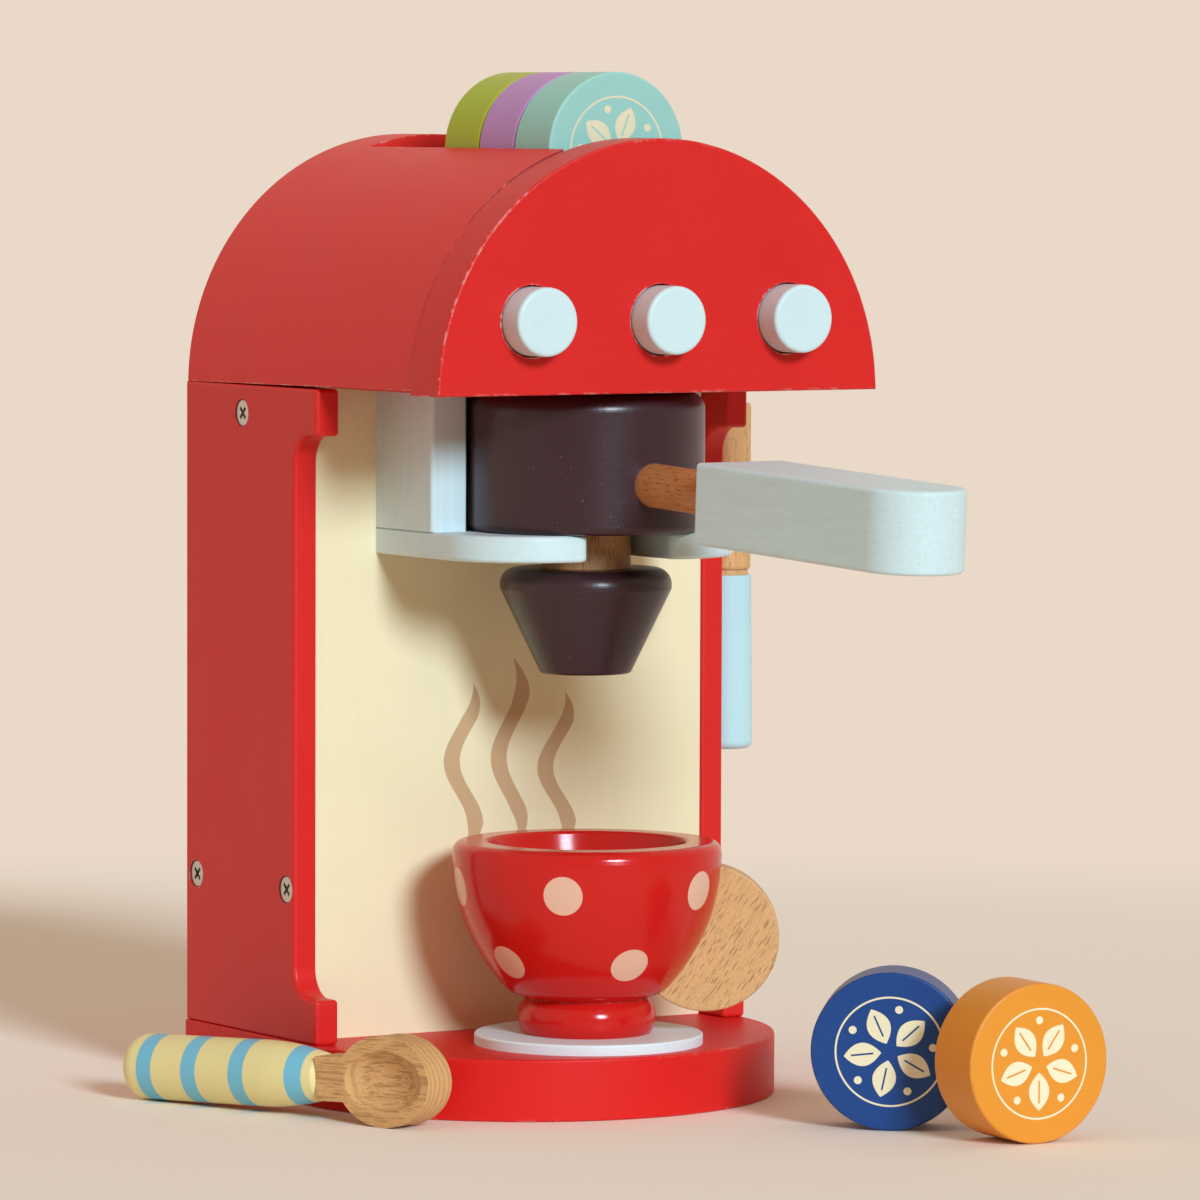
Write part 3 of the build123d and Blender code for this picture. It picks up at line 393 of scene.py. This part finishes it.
# ------------------------------------------------------------------ prints
def ring_of_leaves(across, up, turn):
    """Mask of a thin ring round five veined leaves, with a dot in each gap between them."""
    prints = bpy.context.scene.toy_prints
    crisp, vein_width = 0.05 * MM, 0.44 * MM
    dot_place, dot_radius = 10.3 * MM, 0.95 * MM
    sector = math.tau / 5
    radius = (across * across + up * up).math("SQRT")
    angle = across.math("ARCTAN2", up) + (2 * math.tau + turn)
    folded = angle.math("MODULO", sector) - sector / 2
    along = (radius * folded.math("COSINE") - prints.leaf_place) / (prints.leaf_length / 2)
    aside = abs(radius * folded.math("SINE"))
    leaf = ((1 - along * along) * (prints.leaf_width / 2) - aside).step(-crisp, crisp)
    vein = aside.within(vein_width / 2, crisp) * along.step(-0.62, -0.54) * along.step(0.66, 0.58)
    gap = (angle + sector / 2).math("MODULO", sector) - sector / 2
    apart = radius * gap.math("COSINE") - dot_place
    over = radius * gap.math("SINE")
    dots = (apart * apart + over * over).math("SQRT").within(dot_radius, crisp)
    ring = abs(radius - prints.ring_radius).within(prints.ring_line / 2, crisp)
    return (leaf * (1 - vein)).most(dots).most(ring)


def steam_lines(bench):
    """Mask of three wavy lines that taper at both ends.

    Each has its middle and its two ends in millimetres, and where its wave starts.
    """
    prints = bpy.context.scene.toy_prints
    x, y, z = bench.parts(bench.place)
    crisp = 0.08 * MM
    waves = 1.35  # full waves in a line
    lines = []
    for middle, low, high, phase in ((-13.5, 58, 101, 0.0), (0.0, 60, 107, 0.7),
                                     (13.5, 58, 98, 0.2)):
        rise = (z - low * MM) / ((high - low) * MM)
        sway = (rise * (waves * math.tau) + phase).math("SINE") * prints.steam_sway
        half = (rise * (1 - rise) * (3.2 * prints.steam_width)).least(prints.steam_width / 2)
        lines.append((half - abs(x - middle * MM - sway)).step(-crisp, crisp))
    front = y.step(7.6 * MM, 7.4 * MM)
    return reduce(Value.most, lines) * front


def screw_shadows(bench):
    """Mask of painted shade inside the screw holes in the side panels.

    Each hole has its place along the panel and its height, in millimetres.
    """
    y, z = bench.parts(bench.place)[1:]
    gaps = []
    for over, height in ((10.7, 52.0), (56.5, 52.0), (33.1, 168.0)):
        aside, above = y - over * MM, z - height * MM
        gaps.append((aside * aside + above * above).math("SQRT"))
    return reduce(Value.least, gaps).within(3.4 * MM, 0.1 * MM) * 0.85


def head_seam(bench):
    """Mask of painted shade in the thin joint between the front plate and the roof, broken up in
    places.
    """
    y = bench.parts(bench.place)[1]
    line = abs(y - SEAM_Y).within(0.18 * MM, 0.06 * MM)
    return line * bench.noise(bench.place, 190, 2).step(0.62, 0.55) * 0.8


def cup_middle():
    """The cup's axis where it meets the ground."""
    low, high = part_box("drip_disc")
    return CUP_MIDDLE_X, (low.y + high.y) / 2, 0


def cup_dots(bench):
    """Mask of two staggered rows of round dots on the cup's wall.

    A dot's heading is in degrees round the cup from its front.
    """
    prints = bpy.context.scene.toy_prints
    middle = Vector(cup_middle())
    walls = [vertex.co for vertex in frame["nodes"]["cup"].data.vertices]
    gaps = []
    for height, headings in ((prints.dot_high, (-73.5, -10.2, 57.7, 118, 175, 232)),
                             (prints.dot_low, (-46.9, 23.9, 88, 146, 204, 262))):
        level = [wall for wall in walls if abs(wall.z - height) < 1.2 * MM]
        radius = max((wall.xy - middle.xy).length for wall in level)
        for heading in headings:
            angle = math.radians(heading + CUP_FRONT)
            spot = middle + Vector((radius * math.cos(angle), radius * math.sin(angle), height))
            gaps.append(bench.node("ShaderNodeVectorMath", {"operation": "DISTANCE"},
                                   {0: bench.place, 1: spot}, out="Value"))
    return reduce(Value.least, gaps).within(prints.dot_diameter / 2, 0.06 * MM)


def spoon_bands(bench, origin, turn):
    """Mask of the four bands round the spoon's handle."""
    prints = bpy.context.scene.toy_prints
    along = bench.parts(bench.local(origin, turn))[2]
    gaps = [abs(along - middle * MM) for middle in (9.25, 23.75, 39.1, 56.25)]
    return reduce(Value.least, gaps).within(prints.band_width / 2, 0.06 * MM)


# ------------------------------------------------------------------ pieces
def dress(material, *names):
    """Puts a finish on pieces that keep their shape."""
    for name in names:
        for slot in frame["nodes"][name].material_slots:
            slot.material = material


def clear_selection():
    """Leaves edit mode and deselects everything."""
    if bpy.context.object and bpy.context.object.mode != "OBJECT":
        bpy.ops.object.mode_set(mode="OBJECT")
    bpy.ops.object.select_all(action="DESELECT")


class TOY_OT_stage(bpy.types.Operator):
    """Lay the pale floor and set the soft light and the camera"""
    bl_idname = "toy.stage"
    bl_label = "Stage"
    bl_options = {"REGISTER", "UNDO"}

    def execute(self, context):
        scene, stage = context.scene, context.scene.toy_stage
        scene.view_settings.view_transform = "Standard"
        self.set_camera(scene, stage)
        self.set_light(scene, stage)
        self.lay_floor(stage)
        return {"FINISHED"}

    def set_camera(self, scene, stage):
        lens = bpy.data.cameras.new("camera")
        lens.sensor_width, lens.lens = 36, stage.lens
        lens.clip_start, lens.clip_end = 0.05, 20
        camera = bpy.data.objects.new("camera", lens)
        scene.collection.objects.link(camera)
        # the camera's own right and up, each one long
        right = Vector((0.85337, -0.52129, 0.00348))
        up = Vector((0.03022, 0.05614, 0.99797))
        camera.matrix_world = Matrix.Translation(stage.camera_place) @ Matrix(
            (right, up, right.cross(up))).transposed().to_4x4()
        scene.camera = camera

    def set_light(self, scene, stage):
        clear_selection()
        bpy.ops.object.light_add(type="SUN", location=(0, -1, 0.6),
                                 rotation=(math.pi / 2 - stage.lamp_height, 0, -stage.lamp_heading))
        lamp = bpy.context.object
        lamp.name = "soft_lamp"
        lamp.data.energy, lamp.data.angle = stage.lamp_power, stage.lamp_size
        lamp.data.color = stage.lamp_tint
        world = bpy.data.worlds.new("soft_room")
        world.use_nodes = True
        room = Bench(tree=world.node_tree)
        back, rise = room.parts(room.node("ShaderNodeTexCoord", out="Generated"))[1:]
        front = (0 - back).step(-0.2, 1.0)
        level = 1 + rise.step(0, 1) * stage.top_gain
        seen, glossy, through = (room.node("ShaderNodeLightPath", out=kind) for kind in
                                 ("Is Camera Ray", "Is Glossy Ray", "Is Transmission Ray"))
        plain = room.node("ShaderNodeBackground", {}, {"Color": tuple(stage.backdrop)})
        mirrored = room.node("ShaderNodeBackground", {}, {
            "Color": tuple(stage.backdrop), "Strength": 1 - front * 0.5})
        fill = room.node("ShaderNodeBackground", {}, {
            "Color": room.blend(front, stage.fill, stage.front_fill), "Strength": level})
        unseen = room.node("ShaderNodeMixShader", {},
                           {0: glossy.most(through), 1: fill, 2: mirrored})
        both = room.node("ShaderNodeMixShader", {}, {0: seen, 1: unseen, 2: plain})
        room.node("ShaderNodeOutputWorld", {}, {"Surface": both})
        scene.world = world

    def lay_floor(self, stage):
        clear_selection()
        bpy.ops.mesh.primitive_circle_add(vertices=128, radius=stage.floor_radius,
                                          fill_type="NGON", location=(0, 0, -0.05 * MM))
        bpy.ops.object.transform_apply(location=True)
        floor = bpy.context.object
        floor.name = "floor"
        bench = Bench("pale_floor")
        x, y = bench.parts(bench.place)[:2]
        radius = (x * x + y * y).math("SQRT")
        cloud = bench.noise(bench.place, 6, 2)
        tooth = bench.noise(bench.place, 900, 2)
        tone = bench.tone(stage.floor, 0.985 + cloud * 0.03)
        bump = bench.node("ShaderNodeBump", {}, {"Height": tooth, "Distance": 0.05 * MM,
                                                "Strength": 0.2})
        shader = bench.node("ShaderNodeBsdfPrincipled", {}, {
            "Base Color": tone, "Roughness": 0.8 + tooth * 0.1, "Normal": bump,
            "Specular IOR Level": 0.2})
        clear = bench.node("ShaderNodeBsdfTransparent")
        edge = radius.step(stage.floor_radius - 250 * MM, stage.floor_radius - 2 * MM)
        both = bench.node("ShaderNodeMixShader", {}, {0: edge, 1: shader, 2: clear})
        bench.node("ShaderNodeOutputMaterial", {}, {"Surface": both})
        floor.data.materials.append(bench.material)


class TOY_OT_cabinet(bpy.types.Operator):
    """Paint the red cabinet and head and the cream back board with its steam lines"""
    bl_idname = "toy.cabinet"
    bl_label = "Cabinet"
    bl_options = {"REGISTER", "UNDO"}

    def execute(self, context):
        paints, wood = context.scene.toy_paints, context.scene.toy_timber
        standing, lying_across = (620, 620, 20), (20, 620, 620)
        bench = Bench("red_upright")
        dress(painted(bench, paints.red, lines=standing, dark=screw_shadows(bench)),
              "left_side_panel", "right_side_panel")
        dress(painted(Bench("red_back"), paints.red, lines=standing), "rear_panel")
        dress(painted(Bench("red_base"), paints.red, lines=lying_across, shine=0.2), "base_board")
        dress(painted(Bench("red_lying"), paints.red, lines=lying_across), "head_rear_plate",
              "top_board", "head_floor", "button_housing")
        bench = Bench("red_plate")
        dress(painted(bench, paints.red, lines=lying_across, worn=1.0, dark=head_seam(bench)),
              "front_plate")
        bench = Bench("red_roof")
        dress(painted(bench, paints.roof_red, lines=(300, 14, 300), gloss=0.46, shine=0.42,
                      dark=head_seam(bench)), "roof_shell", "pod_tray")
        bench = Bench("cream_board")
        dress(painted(bench, paints.cream, gloss=0.5, worn=0.2,
                      print_mask=steam_lines(bench) * 0.8, print_tone=paints.steam),
              "back_board")
        dress(timber("plate_dowel_wood", wood.beech, (0, 1, 0), (0, 0, 1)), "front_plate_dowels")
        return {"FINISHED"}


class TOY_OT_fixings(bpy.types.Operator):
    """Finish the screws and the washer"""
    bl_idname = "toy.fixings"
    bl_label = "Fixings"
    bl_options = {"REGISTER", "UNDO"}

    def execute(self, context):
        wood = context.scene.toy_timber
        dress(brushed_steel("screw_steel", wood.steel, 0.32), "left_side_screws",
              "right_side_screws", "base_screws", "head_screws", "holder_screws",
              "wand_washer", "wand_pivot_screw")
        return {"FINISHED"}


class TOY_OT_springs(bpy.types.Operator):
    """Fit smooth steel return springs behind the buttons in place of the plain ones"""
    bl_idname = "toy.springs"
    bl_label = "Button springs"
    bl_options = {"REGISTER", "UNDO"}

    def execute(self, context):
        joints = {joint["name"]: joint for joint in frame["record"]["behaviour"]["joints"]}
        wire = brushed_steel("spring_wire", context.scene.toy_timber.spring, 0.28)
        for side in ("left", "middle", "right"):
            node = f"button_spring_{side}"
            clear_selection()
            spring = bpy.data.objects.new(f"{side}_spring", frame["nodes"][node].data.copy())
            context.scene.collection.objects.link(spring)
            spring.select_set(True)
            context.view_layer.objects.active = spring
            bpy.ops.object.mode_set(mode="EDIT")
            bpy.ops.mesh.select_all(action="SELECT")
            bpy.ops.mesh.remove_doubles(threshold=0.001 * MM)
            bpy.ops.object.mode_set(mode="OBJECT")
            bpy.ops.object.shade_smooth_by_angle(angle=math.radians(40))
            spring.data.materials.clear()
            spring.data.materials.append(wire)
            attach(spring, "machine")
            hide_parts(node)
            press = joints[f"button_{side}_press"]
            seat = press["deforming_nodes"][0]["fixed_end_y_m"]
            low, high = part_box(node)
            1 - press["range_m"][1] / (seat - low.y)
            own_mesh(spring)
        return {"FINISHED"}


class TOY_OT_holder(bpy.types.Operator):
    """Paint the fork, its blocks, the buttons and the drip disc"""
    bl_idname = "toy.holder"
    bl_label = "Holder and buttons"
    bl_options = {"REGISTER", "UNDO"}

    def execute(self, context):
        paints = context.scene.toy_paints
        gritty = {"gloss": 0.45, "specks": 0.3, "speck_tone": paints.dust}
        dress(painted(Bench("blue_upright"), paints.pale_blue, lines=(900, 900, 30), worn=0.2,
                      grain=0.18, **gritty), "holder_block_left", "holder_block_right")
        dress(painted(Bench("blue_fork"), paints.pale_blue, lines=(24, 700, 700), worn=0.2,
                      grain=0.12, **gritty), "holder_fork")
        for name in ("button_left", "button_middle", "button_right"):
            low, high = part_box(name)
            middle = ((low.x + high.x) / 2, 0, (low.z + high.z) / 2)
            dress(painted(Bench(name + "_paint"), paints.pale_blue, worn=0.1,
                          lathe=(middle, (math.pi / 2, 0, 0))), name)
        low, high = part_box("drip_disc")
        dress(painted(Bench("disc_white"), paints.white, worn=0.3, **gritty,
                      lathe=((0, (low.y + high.y) / 2, 0), (0, 0, 0))), "drip_disc")
        return {"FINISHED"}


class TOY_OT_filter(bpy.types.Operator):
    """Finish the filter holder: drum, neck, spout, dowel and grip"""
    bl_idname = "toy.filter"
    bl_label = "Filter holder"
    bl_options = {"REGISTER", "UNDO"}

    def execute(self, context):
        paints, wood = context.scene.toy_paints, context.scene.toy_timber
        low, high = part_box("filter_drum")
        axis = (((low.x + high.x) / 2, (low.y + high.y) / 2, 0), (0, 0, 0))
        dress(painted(Bench("brown_turned"), paints.brown, gloss=0.3, shine=0.4, worn=0.0,
                      lathe=axis, grain=0.14, pits=0.14, specks=0.12),
              "filter_drum", "spout_cone")
        dress(timber("neck_wood", wood.neck, (0, 0, 1), (0, -1, 0)), "neck_dowel")
        dress(timber("handle_wood", wood.dowel, HANDLE_WAY, (1, 0, 0)), "handle_dowel")
        dress(painted(Bench("blue_grip"), paints.pale_blue, lines=(800, 30, 800), gloss=0.45,
                      worn=0.2, grain=0.16, pits=0.08, specks=0.35, speck_tone=paints.dust),
              "handle_grip")
        return {"FINISHED"}


class TOY_OT_wand(bpy.types.Operator):
    """Finish the steam wand"""
    bl_idname = "toy.wand"
    bl_label = "Wand"
    bl_options = {"REGISTER", "UNDO"}

    def execute(self, context):
        wood = context.scene.toy_timber
        dress(timber("wand_wood", wood.beech, (0, 0, 1), (0, -1, 0), fleck=0.5), "wand_arm")
        dress(painted(Bench("wand_paint"), context.scene.toy_paints.sky_blue,
                      lines=(700, 700, 22), worn=0.1), "wand_nozzle")
        return {"FINISHED"}


class TOY_OT_cup(bpy.types.Operator):
    """Finish the dotted cup and its beech handle"""
    bl_idname = "toy.cup"
    bl_label = "Cup"
    bl_options = {"REGISTER", "UNDO"}

    def execute(self, context):
        paints, wood = context.scene.toy_paints, context.scene.toy_timber
        bench = Bench("cup_red")
        dress(painted(bench, paints.cup_red, gloss=0.17, shine=0.3, worn=0.3, pits=0.0,
                      lathe=(cup_middle(), (0, 0, 0)), print_mask=cup_dots(bench),
                      print_tone=paints.dot), "cup")
        # the handle disc stands across the cup's front, and its grain leans
        lean = math.radians(57)
        across, out = 0.8536, -0.521
        diagonal = (across * math.cos(lean), out * math.cos(lean), math.sin(lean))
        dress(timber("cup_handle_wood", wood.beech, diagonal, (out, -across, 0), fleck=0.75),
              "cup_handle")
        return {"FINISHED"}


class TOY_OT_pods(bpy.types.Operator):
    """Paint and print the five coffee pods"""
    bl_idname = "toy.pods"
    bl_label = "Coffee pods"
    bl_options = {"REGISTER", "UNDO"}

    def execute(self, context):
        paints = context.scene.toy_paints
        for name, tone, heading, turn in (
                ("pod_green", paints.green, 0, 0.5), ("pod_lilac", paints.lilac, 0, 1.2),
                ("pod_mint", paints.mint, 0, 0.25), ("pod_blue", paints.blue, -37.0, 1.05),
                ("pod_orange", paints.orange, -2.6, 0.0)):
            low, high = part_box(name)
            bench = Bench(name + "_paint")
            x, y, z = bench.parts(bench.local(tuple((low + high) / 2),
                                              (0, 0, math.radians(heading))))
            front = y.step(-7.6 * MM, -7.8 * MM)
            dress(painted(bench, tone, gloss=0.4, worn=0.3, lines=(60, 500, 500),
                          print_mask=ring_of_leaves(x, z, turn) * front,
                          print_tone=paints.print_cream), name)
        return {"FINISHED"}


class TOY_OT_spoon(bpy.types.Operator):
    """Finish the measuring spoon with its banded handle"""
    bl_idname = "toy.spoon"
    bl_label = "Spoon"
    bl_options = {"REGISTER", "UNDO"}

    def execute(self, context):
        paints, wood = context.scene.toy_paints, context.scene.toy_timber
        # the spoon lies turned by 20 degrees, with its handle's end a little lower than its bowl
        rise = math.radians(2.09)
        over, back = 0.342, 0.940
        along = Vector((over * math.cos(rise), -back * math.cos(rise), math.sin(rise)))
        face, handle_end = (-back, -over, 0), (-90.5 * MM, 34.4 * MM, 7.94 * MM)
        turn = lying(along, face)
        bench = Bench("spoon_paint")
        dress(painted(bench, paints.spoon_cream, gloss=0.45, worn=0.1, lathe=(handle_end, turn),
                      print_mask=spoon_bands(bench, handle_end, turn),
                      print_tone=paints.spoon_band), "spoon_handle")
        dress(timber("spoon_wood", wood.spoon, along, face, handle_end, fleck=0.45,
                     streak=0.42, grain=0.75), "spoon_bowl")
        return {"FINISHED"}


OPERATORS = (TOY_OT_stage, TOY_OT_cabinet, TOY_OT_fixings, TOY_OT_springs, TOY_OT_holder,
             TOY_OT_filter, TOY_OT_wand, TOY_OT_cup, TOY_OT_pods, TOY_OT_spoon)


class TOY_PT_panel(bpy.types.Panel):
    """Lists the toy coffee maker's steps in the sidebar"""
    bl_label = "Toy Coffee Maker"
    bl_space_type, bl_region_type, bl_category = "VIEW_3D", "UI", "Toy Coffee Maker"

    def draw(self, context):
        for operator in OPERATORS:
            self.layout.operator(operator.bl_idname)
        for name, group in PROPERTY_GROUPS.items():
            box = self.layout.box()
            for key in group.__annotations__:
                box.prop(getattr(context.scene, name), key)


def register():
    for name, group in PROPERTY_GROUPS.items():
        bpy.utils.register_class(group)
        setattr(bpy.types.Scene, name, PointerProperty(type=group))
    for made in (*OPERATORS, TOY_PT_panel):
        bpy.utils.register_class(made)


def unregister():
    for made in reversed((*OPERATORS, TOY_PT_panel)):
        bpy.utils.unregister_class(made)
    for name, group in reversed(PROPERTY_GROUPS.items()):
        delattr(bpy.types.Scene, name)
        bpy.utils.unregister_class(group)


def main():
    register()
    for operator in OPERATORS:
        group, name = operator.bl_idname.split(".")
        getattr(getattr(bpy.ops, group), name)()


if __name__ == "__main__":
    main()
